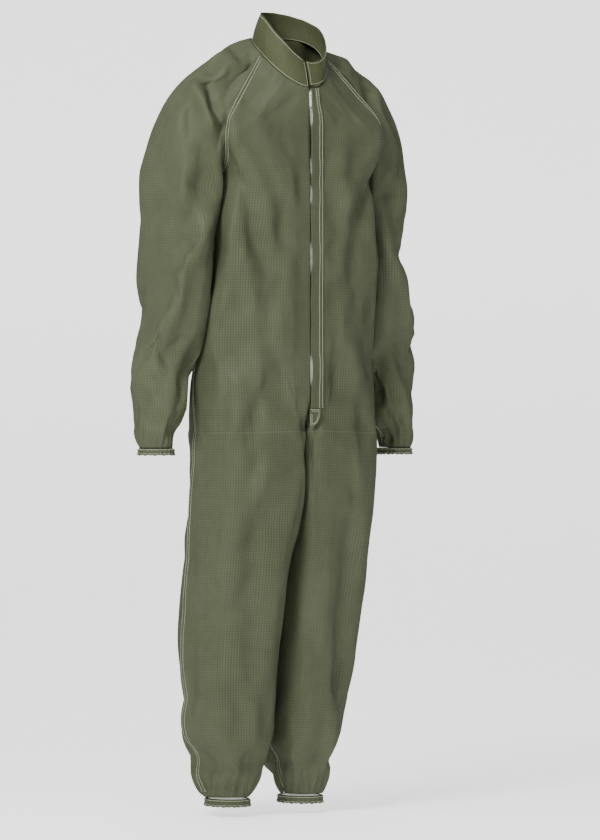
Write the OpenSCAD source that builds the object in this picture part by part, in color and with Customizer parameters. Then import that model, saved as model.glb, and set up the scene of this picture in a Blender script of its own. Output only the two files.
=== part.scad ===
// Protective coverall suit with raglan sleeves, stand collar, a zip under a storm flap,
// and elastic wrists and ankles. Millimetres, +Z up, front towards -Y, origin at the
// centre of the neck opening.

/* [Neck] */
// Half of the neck opening's width
neck_half_w = 71; // [64:1:80]
// Depth of the neck opening's back half
neck_half_d = 74; // [66:1:82]
// Depth of the neck opening's front half
neck_front_d = 78.5; // [70:0.5:80]
// How far the neck opening drops from its back to its front
neck_drop = 105; // [80:1:115]
// Height of the stand collar
collar_h = 45; // [30:1:60]

/* [Cloth] */
// Thickness that the cloth panels are drawn with
cloth_t = 2; // [1.5:0.1:3]
// Thickness of collar, flap and casing layers
trim_t = 1.4; // [1:0.1:2]

/* [Zip] */
// Distance from the neck opening's level down to the top of the zip
zip_top = 92; // [88:1:110]
// Length of the zip
zip_l = 604; // [560:1:606]
// Length of the storm flap
flap_l = 618; // [580:1:620]
// Width of the storm flap from its free edge to its stitched edge
flap_w = 24; // [18:1:30]

/* [Cuffs] */
// Height of the elastic wrist casing
wrist_casing_h = 13; // [8:1:18]
// Height of the elastic ankle casing
ankle_casing_h = 15; // [8:1:20]

/* [Hidden] */

olive = [0.36, 0.39, 0.27];
olive_dark = [0.31, 0.34, 0.23];
zip_white = [0.93, 0.93, 0.91];

// Levels of the body, downwards from the neck opening
z_underarm = -265;
z_crotch_start = -690;
z_crotch = -752;
z_ankle = -1467;
front_y = -81;
seam_angle = 100;

// Torso sections: height, half width, depth of the widest line, y of the back,
// squareness of the front and of the back
torso = [
    [-265, 160, -20, 92, 4.6, 2.6],
    [-302, 160, -20, 92, 4.6, 2.4],
    [-399, 167, -12, 97, 4.0, 2.3],
    [-496, 176, 0, 107, 3.2, 2.3],
    [-603, 184, 16, 113, 2.5, 2.3],
    [-691, 188, 26, 130, 2.4, 2.2],
    [-752, 188, 28, 137, 2.3, 2.2],
    [-811, 187, 31, 143, 2.2, 2.2]
];

// Leg sections: height, inner x, outer x, y of the middle, half depth, squareness of the
// outer side and of the inner side
legs = [
    [-560, 0.05, 184, 16, 97, 2.3, 5],
    [-660, 0.05, 188, 24, 105, 2.2, 5],
    [-752, 0.05, 188, 28, 109, 2.1, 5],
    [-811, 0.6, 187, 31, 112, 2.1, 4.6],
    [-893, 2, 186, 38, 112, 2.2, 4],
    [-1002, 4, 184, 53, 104, 2.4, 3.4],
    [-1080, 5, 181, 66, 102, 2.4, 3.2],
    [-1196, 9, 177, 81, 99, 2.4, 3],
    [-1274, 12, 169, 90, 99, 2.4, 2.8],
    [-1352, 16, 158, 97, 92, 2.3, 2.6],
    [-1391, 20, 148, 99, 84, 2.3, 2.5],
    [-1430, 28, 140, 95, 73, 2.2, 2.3],
    [-1455, 39, 128, 94, 59, 2.1, 2.1],
    [-1467, 46, 122, 93, 47, 2, 2]
];

// Sleeve sections: height, x and y of the middle, half width, half depth, squareness
sleeve_rings = [
    [-335, 216, 60, 58, 92, 2.5],
    [-400, 221, 60, 57, 90, 2.5],
    [-496, 231, 57, 56, 85, 2.5],
    [-560, 241, 56, 54.5, 75, 2.5],
    [-613, 250, 56, 53, 66, 2.5],
    [-652, 255, 55, 51, 62, 2.4],
    [-691, 260, 53, 48, 58, 2.3],
    [-730, 266, 49, 43, 50, 2.2],
    [-768, 272, 45, 35, 39, 2.1],
    [-784, 273, 44, 30, 33, 2.0]
];

// Raglan seam from the underarm up the front to the neck, and up the back to the neck
front_raglan_mid = [[167, -30, -226], [184, -59, -163], [130, -40, -95]];
back_raglan_mid = [[161, 50, -228], [148, 80, -165], [102, 74, -78]];
raglan_front_angle = 80;
raglan_back_angle = 130;
armhole_centre = [120, 15, -135];

// Loop shares of the sleeve's top edge, in degrees round the sleeve from the underarm
loop_front = 150;
loop_neck = 210;

// Zip and flap, across the front: x = 0 is the zip's centre line
flap_edge_x = 3.0;
flap_seam_x = flap_edge_x + flap_w;
zip_y = front_y + 5;
tape_w = 10;
tape_t = 0.7;
tooth_pitch = 5;
tooth_w = 2.2;

// ---------- helpers ----------
function mix(a, b, t) = a + (b - a) * t;
function unit(v) = v / norm(v);
function spow(v, p) = sign(v) * pow(abs(v), p);
function smooth(t) = t * t * (3 - 2 * t);
function clamp01(t) = max(0, min(1, t));

// Row of a table at height z, with heights falling down the table
function table_row(t, z, i = 0) =
    z >= t[i][0] ? t[i] :
    i >= len(t) - 1 ? t[len(t) - 1] :
    z >= t[i + 1][0] ? mix(t[i], t[i + 1], (t[i][0] - z) / (t[i][0] - t[i + 1][0])) :
    table_row(t, z, i + 1);

// Smooth curve through points, s from 0 to 1
function curve(p, s) =
    let (n = len(p) - 1, k = min(n - 1, floor(s * n)), t = s * n - k)
    let (a = p[max(0, k - 1)], b = p[k], c = p[k + 1], d = p[min(n, k + 2)])
    let (m0 = (c - a) / 2, m1 = (d - b) / 2)
    b * (2 * t * t * t - 3 * t * t + 1) + m0 * (t * t * t - 2 * t * t + t)
    + c * (3 * t * t - 2 * t * t * t) + m1 * (t * t * t - t * t);

// ---------- shapes of the body, for the wearer's left side (x > 0) ----------
function neck_z(a) = 17 - neck_drop * pow((1 + cos(a)) / 2, 1.8);
function neck_depth(a) = cos(a) > 0 ? neck_front_d : neck_half_d;
function neck_point(a) = [neck_half_w * sin(a), -neck_depth(a) * cos(a), neck_z(a)];
function neck_dir(a) = unit([-sin(a), cos(a), -1]);

function torso_point(a, z) =
    let (r = table_row(torso, z), n = cos(a) > 0 ? r[4] : r[5])
    let (depth = cos(a) > 0 ? r[2] - front_y : r[3] - r[2])
    [r[1] * spow(sin(a), 2 / n), r[2] - depth * spow(cos(a), 2 / n), z];

// The front of the leg stays flat up to the inseam below the crotch, and rounds further down
function front_corner(z) = 1 + 1.6 * smooth(clamp01((z + 1010) / 200));
function leg_point(a, z) =
    let (r = table_row(legs, z), n = sin(a) < 0 ? (cos(a) > 0 ? r[6] * front_corner(z) : r[6]) : r[5])
    let (xc = (r[1] + r[2]) / 2, hx = (r[2] - r[1]) / 2)
    [xc + hx * spow(sin(a), 2 / n), r[3] - r[4] * spow(cos(a), 2 / n), z];

crease_u = 0.4;
// Share of the leg's shape in a section: a round crotch seam at the centre line, and a
// slow change towards the side
z_hip_top = -540;
z_hip_low = -800;
function crotch_share(z) =
    z >= z_crotch_start ? 0 :
    z <= z_crotch ? 1 :
    1 - sqrt(1 - pow((z_crotch_start - z) / (z_crotch_start - z_crotch), 2));
function hip_share(z) = smooth(clamp01((z_hip_top - z) / (z_hip_top - z_hip_low)));
function leg_share(u, z) =
    mix(crotch_share(z), hip_share(z), smooth(min(1, u / crease_u)));

// Below the underarm: u from the centre line (or inseam) to the side seam. Up to
// crease_u it runs to the middle of the leg, so that torso and legs meet without a waist.
crease_x = 94;
function torso_angle(front, u, z) =
    let (r = table_row(torso, z), n = front ? r[4] : r[5])
    let (x = crease_x * min(1, u / crease_u), inner = asin(pow(x / r[1], n / 2)))
    let (t = max(0, u - crease_u) / (1 - crease_u))
    front ? mix(inner, seam_angle, t) : 180 - mix(inner, 180 - seam_angle, t);
function leg_angle(front, u) =
    let (inner = 90 * (min(1, u / crease_u) - 1), t = max(0, u - crease_u) / (1 - crease_u))
    front ? inner + seam_angle * t : 180 - inner - (180 - seam_angle) * t;
function lower_point(front, u, z) =
    mix(torso_point(torso_angle(front, u, z), z), leg_point(leg_angle(front, u), z), leg_share(u, z));

underarm = torso_point(seam_angle, z_underarm);
front_raglan = concat([underarm], front_raglan_mid, [neck_point(raglan_front_angle)]);
back_raglan = concat([underarm], back_raglan_mid, [neck_point(raglan_back_angle)]);

// Direction into the suit at a raglan point, s from the underarm to the neck
function raglan_dir(line, angle, s) =
    unit(mix(unit(armhole_centre - shouldered(curve(line, s))), neck_dir(angle), pow(s, 4)));

// Centre line above the underarm, v from the neck down
function centre_line(front, v) =
    front ? [0, mix(-neck_front_d, front_y, smooth(clamp01(v * 8))), mix(neck_z(0), z_underarm, v)]
          : [0, mix(neck_half_d, torso_point(180, z_underarm)[1], clamp01(v * 2.2)),
             mix(neck_z(180), z_underarm, v)];

// The shoulders lean forward and slope inwards: height, how far forward, how far inwards
lean = [
    [17, 20, 8], [-33, 38, 9], [-64, 40, 8], [-111, 24, 7], [-173, 16, 7], [-250, 0, 4], [-330, 0, 0]
];
function shouldered(p) =
    let (out = smooth(clamp01((p[0] - 72) / 70)), back = smooth(clamp01((p[1] + 40) / 80)))
    let (r = p[2] > lean[0][0] ? lean[0] : table_row(lean, p[2]))
    p - [r[2] * out * smooth(clamp01((p[0] - 130) / 60)), r[1] * out * back, 0];

// One row of the chest or back: a rounded corner between centre line and raglan seam
function row_curve(front, line, u, v) =
    let (n = mix(2, front ? 4 : 2.4, v), mid = centre_line(front, v), side = curve(line, 1 - v))
    [side[0] * spow(sin(90 * u), 2 / n),
     mix(side[1], mid[1], spow(cos(90 * u), 2 / n)),
     mix(mid[2], side[2], u * u)];

// Above the underarm: a patch between neck, raglan seam, underarm level and centre line
function upper_point(front, u, v) =
    let (line = front ? front_raglan : back_raglan)
    let (neck_a = front ? u * raglan_front_angle : 180 - u * (180 - raglan_back_angle))
    let (top = neck_point(neck_a) - row_curve(front, line, u, 0))
    let (low = lower_point(front, u, z_underarm) - row_curve(front, line, u, 1))
    shouldered(row_curve(front, line, u, v) + top * pow(1 - v, 3) + low * pow(v, 3));

function upper_dir(front, u, v) =
    let (line = front ? front_raglan : back_raglan)
    let (angle = front ? raglan_front_angle : raglan_back_angle)
    let (neck_a = front ? u * angle : 180 - u * (180 - angle))
    let (p = upper_point(front, u, v))
    let (body = [-p[0] * 0.8, (front ? 1 : -1) * 70, 0])
    let (inner = v == 0 ? neck_dir(neck_a) : unit(mix(unit(body), neck_dir(neck_a), pow(1 - v, 6))))
    u == 1 ? raglan_dir(line, angle, 1 - v) : u == 0 ? (front ? [0, 1, 0] : [0, -1, 0]) : inner;

function lower_dir(front, u, z) =
    let (p = lower_point(front, u, z), w = leg_share(u, z))
    let (r = table_row(legs, z), q = table_row(torso, z))
    let (to_torso = [-p[0] * 0.8, q[2] - p[1], 0])
    let (to_leg = [(r[1] + r[2]) / 2 - p[0], r[3] - p[1], 0])
    u == 0 && crotch_share(z) == 0 ? (front ? [0, 1, 0] : [0, -1, 0]) :
    u == 0 && w < 1 ? unit(mix([0, front ? 1 : -1, 0], [1, 0, 0.8], w)) :
    unit(mix(to_torso, to_leg, smooth(z < z_crotch ? 1 : w)));

// Levels of the rows below the underarm
lower_levels = concat(
    [for (z = [z_underarm - 55 : -55 : z_crotch_start + 40]) z],
    [for (t = [0.02, 0.35, 0.62, 0.82, 0.95, 1]) mix(z_crotch_start, z_crotch, t)],
    [-790, -850, -930, -1015, -1100, -1190, -1270, -1340, -1391, -1430, -1452, z_ankle]
);
upper_rows = 7;
columns = 10;

// The front edges stand apart along the zip
zip_gap = 4.2;
function edge_shift(front, u, z) =
    [front && u == 0 && z > -zip_top - zip_l ? zip_gap : 0, 0, 0];
function shifted(front, u, p) = p + edge_shift(front, u, p[2]);

function panel_outer(front) = concat(
    [for (i = [0 : upper_rows]) [for (j = [0 : columns])
        shifted(front, j / columns, upper_point(front, j / columns, i / upper_rows))]],
    [for (z = lower_levels) [for (j = [0 : columns])
        shifted(front, j / columns, lower_point(front, j / columns, z))]]
);
function panel_inner(front) = concat(
    [for (i = [0 : upper_rows]) [for (j = [0 : columns])
        shifted(front, j / columns, upper_point(front, j / columns, i / upper_rows))
        + cloth_t * upper_dir(front, j / columns, i / upper_rows)]],
    [for (z = lower_levels) [for (j = [0 : columns])
        shifted(front, j / columns, lower_point(front, j / columns, z))
        + cloth_t * lower_dir(front, j / columns, z)]]
);

// Closed sheet between two grids of points, rows by columns, optionally closed round
module sheet(outer, inner, round_shape = false, flip = false) {
    rows = len(outer);
    cols = len(outer[0]);
    n = rows * cols;
    last = round_shape ? cols - 1 : cols - 2;
    function at(i, j) = i * cols + j % cols;
    outer_faces = [for (i = [0 : rows - 2]) for (j = [0 : last]) for (f = [
        [at(i, j), at(i, j + 1), at(i + 1, j + 1)],
        [at(i, j), at(i + 1, j + 1), at(i + 1, j)]]) f];
    inner_faces = [for (f = outer_faces) [f[0] + n, f[2] + n, f[1] + n]];
    top_faces = [for (j = [0 : last]) for (f = [
        [at(0, j), at(0, j) + n, at(0, j + 1) + n],
        [at(0, j), at(0, j + 1) + n, at(0, j + 1)]]) f];
    low = rows - 1;
    low_faces = [for (j = [0 : last]) for (f = [
        [at(low, j), at(low, j + 1) + n, at(low, j) + n],
        [at(low, j), at(low, j + 1), at(low, j + 1) + n]]) f];
    e = cols - 1;
    side_faces = round_shape ? [] : [for (i = [0 : rows - 2]) for (f = [
        [at(i, 0), at(i + 1, 0) + n, at(i, 0) + n],
        [at(i, 0), at(i + 1, 0), at(i + 1, 0) + n],
        [at(i, e), at(i, e) + n, at(i + 1, e) + n],
        [at(i, e), at(i + 1, e) + n, at(i + 1, e)]]) f];
    faces = concat(outer_faces, inner_faces, top_faces, low_faces, side_faces);
    points = concat([for (r = outer) each r], [for (r = inner) each r]);
    polyhedron(points, flip ? faces : [for (f = faces) [f[0], f[2], f[1]]]);
}

module to_side(right) {
    mirror([right ? 1 : 0, 0, 0]) children();
}

module panel(front, right) {
    color(front ? olive : olive_dark)
    to_side(right)
    sheet(panel_outer(front), panel_inner(front), false, front);
}

// ---------- sleeves ----------
function sleeve_ring_point(a, z) =
    let (r = table_row(sleeve_rings, z))
    [r[1] - r[3] * spow(cos(a), 2 / r[5]), r[2] - r[4] * spow(sin(a), 2 / r[5]), z];

function loop_point(a) =
    a <= loop_front ? curve(front_raglan, a / loop_front) :
    a >= loop_neck ? curve(back_raglan, (360 - a) / (360 - loop_neck)) :
    neck_point(mix(raglan_front_angle, raglan_back_angle, (a - loop_front) / (loop_neck - loop_front)));
function loop_dir(a) =
    a <= loop_front ? raglan_dir(front_raglan, raglan_front_angle, a / loop_front) :
    a >= loop_neck ? raglan_dir(back_raglan, raglan_back_angle, (360 - a) / (360 - loop_neck)) :
    neck_dir(mix(raglan_front_angle, raglan_back_angle, (a - loop_front) / (loop_neck - loop_front)));

cap_low = -335;
cap_start = 0.04;
function toward_middle(p) =
    let (r = table_row(sleeve_rings, p[2]))
    unit([r[1] - p[0], r[2] - p[1], 0]);
function cap_point(a, t) =
    let (p0 = loop_point(a), p3 = sleeve_ring_point(a, cap_low), h = p0[2] - p3[2])
    let (p1 = [mix(p0[0], p3[0], 0.77), mix(p0[1], p3[1], 0.78), p0[2] - 0.13 * h])
    let (p2 = [p3[0] - 0.06 * h * cos(a), p3[1] - 0.03 * h * sin(a), p3[2] + 0.62 * h])
    let (k = 1 - t)
    shouldered(p0 * k * k * k + p1 * 3 * k * k * t + p2 * 3 * k * t * t + p3 * t * t * t);
function cap_dir(a, t) =
    let (p = cap_point(a, t), core = mix(armhole_centre, [216, 60, p[2] - 40], t))
    t == 1 ? toward_middle(p) : unit(mix(loop_dir(a), unit(core - p), min(1, 1.4 * t)));

around = 24;
cap_rows = 7;
cap_angles = [for (j = [0 : around - 1]) j * 360 / around];
cap_shares = [for (i = [0 : cap_rows]) max(cap_start, i / cap_rows)];
cap_outer = [for (t = cap_shares) [for (a = cap_angles) cap_point(a, t)]];
cap_inner = [for (t = cap_shares) [for (a = cap_angles) cap_point(a, t) + cloth_t * cap_dir(a, t)]];

module sleeve_cap(right) {
    color(olive)
    to_side(right)
    sheet(cap_outer, cap_inner, true, true);
}

sleeve_gap = 0.4;
sleeve_levels = [
    cap_low - sleeve_gap, -365, -400, -448, -496, -560, -613, -652, -691, -730, -755, -772, -784
];
tube_outer = [for (z = sleeve_levels) [for (a = cap_angles) sleeve_ring_point(a, z)]];
tube_inner = [for (r = tube_outer) [for (p = r) p + cloth_t * toward_middle(p)]];

module sleeve_tube(right) {
    color(olive)
    to_side(right)
    sheet(tube_outer, tube_inner, true, true);
}

// ---------- elastic ends ----------
pocket_from = 1.1;
pocket_to = 2.5;
casing_t = 3.6;
hem_t = 1.5;
module oval_ring(half_w, half_d, from, to, h) {
    linear_extrude(h)
    difference() {
        scale([(half_w - from) / (half_d - from), 1]) circle(r = half_d - from, $fn = 48);
        scale([(half_w - to) / (half_d - to), 1]) circle(r = half_d - to, $fn = 48);
    }
}
module casing(place, half_w, half_d, h) {
    color(olive_dark)
    translate(place - [0, 0, h])
    difference() {
        oval_ring(half_w, half_d, 0, casing_t, h);
        translate([0, 0, hem_t]) oval_ring(half_w, half_d, pocket_from, pocket_to, h - 2 * hem_t);
    }
}
module elastic(place, half_w, half_d, h) {
    color(zip_white)
    translate(place - [0, 0, h - hem_t - 0.3])
    oval_ring(half_w, half_d, pocket_from + 0.1, pocket_to - 0.1, h - 2 * hem_t - 0.6);
}

wrist = sleeve_rings[len(sleeve_rings) - 1];
ankle = legs[len(legs) - 1];
ankle_x = (ankle[1] + ankle[2]) / 2;
ankle_half_w = (ankle[2] - ankle[1]) / 2;
wrist_place = [wrist[1], wrist[2], wrist[0] - 0.05];
ankle_place = [ankle_x, ankle[3], ankle[0] - 0.05];
module wrist_casing(right) {
    to_side(right) casing(wrist_place, wrist[3], wrist[4], wrist_casing_h);
}
module ankle_casing(right) {
    to_side(right) casing(ankle_place, ankle_half_w, ankle[4], ankle_casing_h);
}
module wrist_elastic(right) {
    to_side(right) elastic(wrist_place, wrist[3], wrist[4], wrist_casing_h);
}
module ankle_elastic(right) {
    to_side(right) elastic(ankle_place, ankle_half_w, ankle[4], ankle_casing_h);
}

// ---------- collar ----------
collar_gap_angle = 3;
collar_rows = 2;

// Upper edge of the collar: angle round the neck towards the wearer's left, share of the
// neck's size, and height above the neck opening's level for a collar of 45 mm
rim = [
    [0, 0.77, -36], [15, 0.82, -37], [30, 0.89, -33], [45, 0.96, -22], [60, 0.99, 0],
    [75, 0.98, 20], [90, 0.96, 36], [120, 0.88, 53], [150, 0.81, 63], [180, 0.77, 67],
    [210, 0.75, 66], [240, 0.76, 63], [270, 0.80, 53], [285, 0.84, 42], [300, 0.85, 22],
    [315, 0.85, 6], [330, 0.83, -13], [345, 0.79, -26], [360, 0.76, -35]
];
function rim_row(a, i = 0) =
    a < 0 ? rim[0] :
    a <= rim[i + 1][0] ? mix(rim[i], rim[i + 1], (a - rim[i][0]) / (rim[i + 1][0] - rim[i][0])) :
    rim_row(a, i + 1);
function collar_point(a, t, inset) =
    let (p = neck_point(a), r = rim_row(a), k = (1 - inset / neck_half_w) * mix(1, r[1], t))
    [p[0] * k, p[1] * k, mix(p[2] + 0.3, r[2] + collar_h - 45, t)];
module collar_layer(inset, from_angle, to_angle, bottom, top, tint, steps = 36) {
    angles = [for (i = [0 : steps]) mix(from_angle, to_angle, i / steps)];
    shares = [for (r = [0 : collar_rows]) mix(top, bottom, r / collar_rows)];
    outer = [for (t = shares) [for (a = angles) collar_point(a, t, inset)]];
    inner = [for (t = shares) [for (a = angles) collar_point(a, t, inset + trim_t)]];
    color(tint)
    sheet(outer, inner, false, true);
}
module collar_band() {
    collar_layer(0, collar_gap_angle, 360 - collar_gap_angle, 0, 1, olive);
}
module collar_facing() {
    collar_layer(trim_t + 0.3, collar_gap_angle + 1, 359 - collar_gap_angle, 0.02, 0.97, olive_dark);
}

// Tab of the left collar end, lying outside the band over the collar's opening
tab_from = -2;
tab_to = 26;
tab_gap = 2.2;
module collar_tab() {
    collar_layer(-trim_t - tab_gap, tab_from, tab_to, 0.06, 0.96, olive, 8);
}

snap_angle = 8;
snap_r = 3.4;
snap_place = collar_point(snap_angle, 0.5, 0);
snap_low = collar_point(snap_angle, 0, 0);
snap_high = collar_point(snap_angle, 1, 0);
snap_tilt = atan2(norm([snap_low[0] - snap_high[0], snap_low[1] - snap_high[1]]), snap_high[2] - snap_low[2]);
module at_snap() {
    translate(snap_place) rotate([90 - snap_tilt, 0, snap_angle]) translate([0, 0, 0.3]) children();
}
snap_t = 0.4;
module collar_snap_socket() {
    color(zip_white) at_snap() cylinder(h = snap_t, r = snap_r, $fn = 32);
}
module collar_snap_stud() {
    color(zip_white) at_snap() translate([0, 0, 0.35 + snap_t]) cylinder(h = snap_t, r = snap_r, $fn = 32);
}

// ---------- zip, guard and flap ----------
module strip(x0, x1, y0, y1, top, length) {
    translate([x0, y0, top - length]) cube([x1 - x0, y1 - y0, length]);
}

// Each tape and, along its outer edge, the seam allowance that joins it to the cloth
seam_w = 4;
seam_drop = 30;
seam_y = front_y + cloth_t + 1;
module zip_tape(right) {
    color(zip_white)
    to_side(right)
    union() {
        strip(0.9, tape_w, zip_y, zip_y + tape_t, -zip_top, zip_l);
        strip(tape_w - seam_w, tape_w, seam_y, zip_y, -zip_top - seam_drop, zip_l - seam_drop - 8);
    }
}

module zip_teeth(right) {
    shift = right ? tooth_pitch / 2 : 0;
    tooth_from = 0.8;
    count = floor((zip_l - 24) / tooth_pitch);
    color(zip_white)
    to_side(right)
    union() {
        strip(1.2, 2.4, zip_y - 0.6, zip_y, -zip_top - 8, zip_l - 18);
        for (i = [0 : count - 1])
            translate([tooth_from, zip_y - 1.5, -zip_top - 11 - shift - i * tooth_pitch])
            cube([tooth_w, 1.5, 1.9]);
    }
}

slider_w = 7.2;
slider_h = 11;
slider_plate_t = 0.8;
slider_clear = 0.4;
slider_z = -zip_top - 8;
slider_top = slider_z + 4;
tooth_d = 1.5;
bridge_w = 0.8;
crown_w = 3;
crown_h = 4;
pivot_hole_r = 0.75;
pull_pivot = [0, zip_y - 3.9, slider_z];
module zip_slider() {
    front_plate = zip_y - tooth_d - slider_clear - slider_plate_t;
    back_plate = zip_y + tape_t + slider_clear;
    crown_front = pull_pivot[1] - 1.4;
    color(zip_white)
    difference() {
        union() {
            for (y = [front_plate, back_plate])
                strip(-slider_w / 2, slider_w / 2, y, y + slider_plate_t, slider_top, slider_h);
            strip(-bridge_w / 2, bridge_w / 2, front_plate, back_plate + 0.1, slider_top, 3.2);
            strip(-crown_w / 2, crown_w / 2, crown_front, front_plate + 0.1, slider_z + crown_h / 2, crown_h);
        }
        translate([-3, pull_pivot[1], pull_pivot[2]]) rotate([0, 90, 0])
        cylinder(h = 6, r = pivot_hole_r, $fn = 24);
    }
}

pull_w = 5.2;
pull_l = 25;
pull_t = 1.3;
pull_arm_w = 0.6;
pull_window = 4.5;
pull_pin_r = 0.69;
pull_hole_r = 1.1;
pull_round_z = pull_pivot[2] - pull_l + pull_w / 2;
module zip_pull() {
    back = pull_pivot[1] + pull_t / 2;
    color(zip_white)
    difference() {
        union() {
            translate([-pull_w / 2, pull_pivot[1], pull_pivot[2]]) rotate([0, 90, 0])
            cylinder(h = pull_w, r = pull_pin_r, $fn = 24);
            for (x = [-pull_w / 2, pull_w / 2 - pull_arm_w])
                translate([x, back - pull_t, pull_pivot[2] - pull_window])
                cube([pull_arm_w, pull_t, pull_window]);
            translate([-pull_w / 2, back - pull_t, pull_round_z])
            cube([pull_w, pull_t, pull_pivot[2] - pull_window - pull_round_z]);
            translate([0, back, pull_round_z]) rotate([90, 0, 0])
            cylinder(h = pull_t, r = pull_w / 2, $fn = 32);
        }
        translate([0, back + 1, pull_round_z]) rotate([90, 0, 0])
        cylinder(h = pull_t + 2, r = pull_hole_r, $fn = 32);
    }
}

module zip_top_stops() {
    color(zip_white)
    for (side = [-1, 1])
        translate([side * 2.4 - 1, zip_y - 1.2, -zip_top - 3.2]) cube([2, 1.2, 2.6]);
}

module zip_bottom_stop() {
    color(zip_white)
    strip(-3.2, 3.2, zip_y - 1.3, zip_y, -zip_top - zip_l + 7, 3.2);
}

guard_gap = 1.8;
guard_w = 24;
guard_t = 1;
module zip_guard() {
    guard_y = zip_y + tape_t + guard_gap;
    color(olive_dark)
    strip(-guard_w / 2, guard_w / 2, guard_y, guard_y + guard_t, -zip_top - 2, zip_l - 6);
}

flap_y = front_y - 2.2;
module storm_flap() {
    color(olive)
    strip(flap_edge_x, flap_seam_x, flap_y, flap_y + trim_t, -zip_top + 3, flap_l);
}

patch_w = 21;
patch_h = 34;
patch_z = -zip_top + 2 - flap_l;
patch_shoulder = 6;
module placket_end_patch() {
    color(olive)
    translate([flap_edge_x - 3, flap_y + trim_t, patch_z])
    rotate([90, 0, 0])
    linear_extrude(trim_t)
    polygon(concat(
        [[0, -patch_h], [0, 0], [patch_w, 0]],
        [for (a = [0 : 9 : 81]) [patch_w * cos(a), -patch_shoulder - (patch_h - patch_shoulder) * sin(a)]]
    ));
}

panel(true, true);  // front_right_panel
panel(true, false);  // front_left_panel
panel(false, true);  // back_right_panel
panel(false, false);  // back_left_panel
sleeve_cap(true);  // sleeve_right_cap
sleeve_cap(false);  // sleeve_left_cap
sleeve_tube(true);  // sleeve_right
sleeve_tube(false);  // sleeve_left
collar_band();
collar_facing();
collar_tab();
collar_snap_stud();
collar_snap_socket();
storm_flap();
zip_guard();
zip_tape(true);  // zip_tape_right
zip_tape(false);  // zip_tape_left
zip_teeth(true);  // zip_teeth_right
zip_teeth(false);  // zip_teeth_left
zip_slider();
zip_pull();
zip_top_stops();
zip_bottom_stop();
placket_end_patch();
wrist_casing(true);  // wrist_casing_right
wrist_casing(false);  // wrist_casing_left
ankle_casing(true);  // ankle_casing_right
ankle_casing(false);  // ankle_casing_left
wrist_elastic(true);  // wrist_elastic_right
wrist_elastic(false);  // wrist_elastic_left
ankle_elastic(true);  // ankle_elastic_right
ankle_elastic(false);  // ankle_elastic_left
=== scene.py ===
"""Olive coverall: raglan sleeves, stand collar, zip under a storm flap, elastic wrists and ankles."""
import math

import bpy
import numpy as np
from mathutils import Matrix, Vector, noise


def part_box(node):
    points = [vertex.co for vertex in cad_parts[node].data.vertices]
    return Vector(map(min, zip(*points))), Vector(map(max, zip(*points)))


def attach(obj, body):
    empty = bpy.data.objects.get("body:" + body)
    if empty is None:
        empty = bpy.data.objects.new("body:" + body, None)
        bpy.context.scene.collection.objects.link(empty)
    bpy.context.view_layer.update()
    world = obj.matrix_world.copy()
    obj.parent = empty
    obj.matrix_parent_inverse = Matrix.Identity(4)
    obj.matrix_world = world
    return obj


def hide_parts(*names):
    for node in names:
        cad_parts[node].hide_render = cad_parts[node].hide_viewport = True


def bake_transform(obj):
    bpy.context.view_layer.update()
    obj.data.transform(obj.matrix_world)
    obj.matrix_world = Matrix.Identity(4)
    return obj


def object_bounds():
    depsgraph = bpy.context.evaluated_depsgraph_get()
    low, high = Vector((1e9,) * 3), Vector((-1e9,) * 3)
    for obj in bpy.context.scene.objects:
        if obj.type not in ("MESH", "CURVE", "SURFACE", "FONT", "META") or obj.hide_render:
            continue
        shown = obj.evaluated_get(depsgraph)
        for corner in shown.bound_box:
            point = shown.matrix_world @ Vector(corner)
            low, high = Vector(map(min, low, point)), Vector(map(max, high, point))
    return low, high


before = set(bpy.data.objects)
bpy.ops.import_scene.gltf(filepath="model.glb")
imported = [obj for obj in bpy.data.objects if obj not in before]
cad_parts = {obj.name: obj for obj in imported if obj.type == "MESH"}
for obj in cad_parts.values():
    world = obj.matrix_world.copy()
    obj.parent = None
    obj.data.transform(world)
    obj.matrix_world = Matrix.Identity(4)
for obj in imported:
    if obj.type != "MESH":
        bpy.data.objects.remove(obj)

cad_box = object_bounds()
MM = 0.001

# ---------------------------------------------------------------- camera and light
AZIMUTH = math.radians(-32)
DISTANCE = 9.0
FRAME_HEIGHT = 1.634  # metres of the object's plane that the picture's height holds
AIM_SIDE = 0.0214
AIM_Z = -0.7296
SENSOR = 36.0


def view_axes():
    """Unit vectors to the right of the picture and into it."""
    right = Vector((math.cos(AZIMUTH), math.sin(AZIMUTH), 0))
    into = Vector((-math.sin(AZIMUTH), math.cos(AZIMUTH), 0))
    return right, into


def make_camera():
    right, into = view_axes()
    data = bpy.data.cameras.new("camera")
    data.sensor_fit = "AUTO"
    data.sensor_width = SENSOR
    data.lens = SENSOR * DISTANCE / FRAME_HEIGHT
    data.clip_end = 100
    camera = bpy.data.objects.new("camera", data)
    bpy.context.scene.collection.objects.link(camera)
    camera.location = right * AIM_SIDE - into * DISTANCE + Vector((0, 0, AIM_Z))
    camera.rotation_euler = (math.pi / 2, 0, AZIMUTH)
    bpy.context.scene.camera = camera


def area_light(name, place, aim, size, power, tint=(1, 1, 1)):
    data = bpy.data.lights.new(name, "AREA")
    data.shape = "RECTANGLE"
    data.size, data.size_y = size
    data.energy = power
    data.color = tint
    light = bpy.data.objects.new(name, data)
    bpy.context.scene.collection.objects.link(light)
    light.location = place
    light.rotation_euler = (Vector(aim) - Vector(place)).to_track_quat("-Z", "Y").to_euler()


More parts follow.
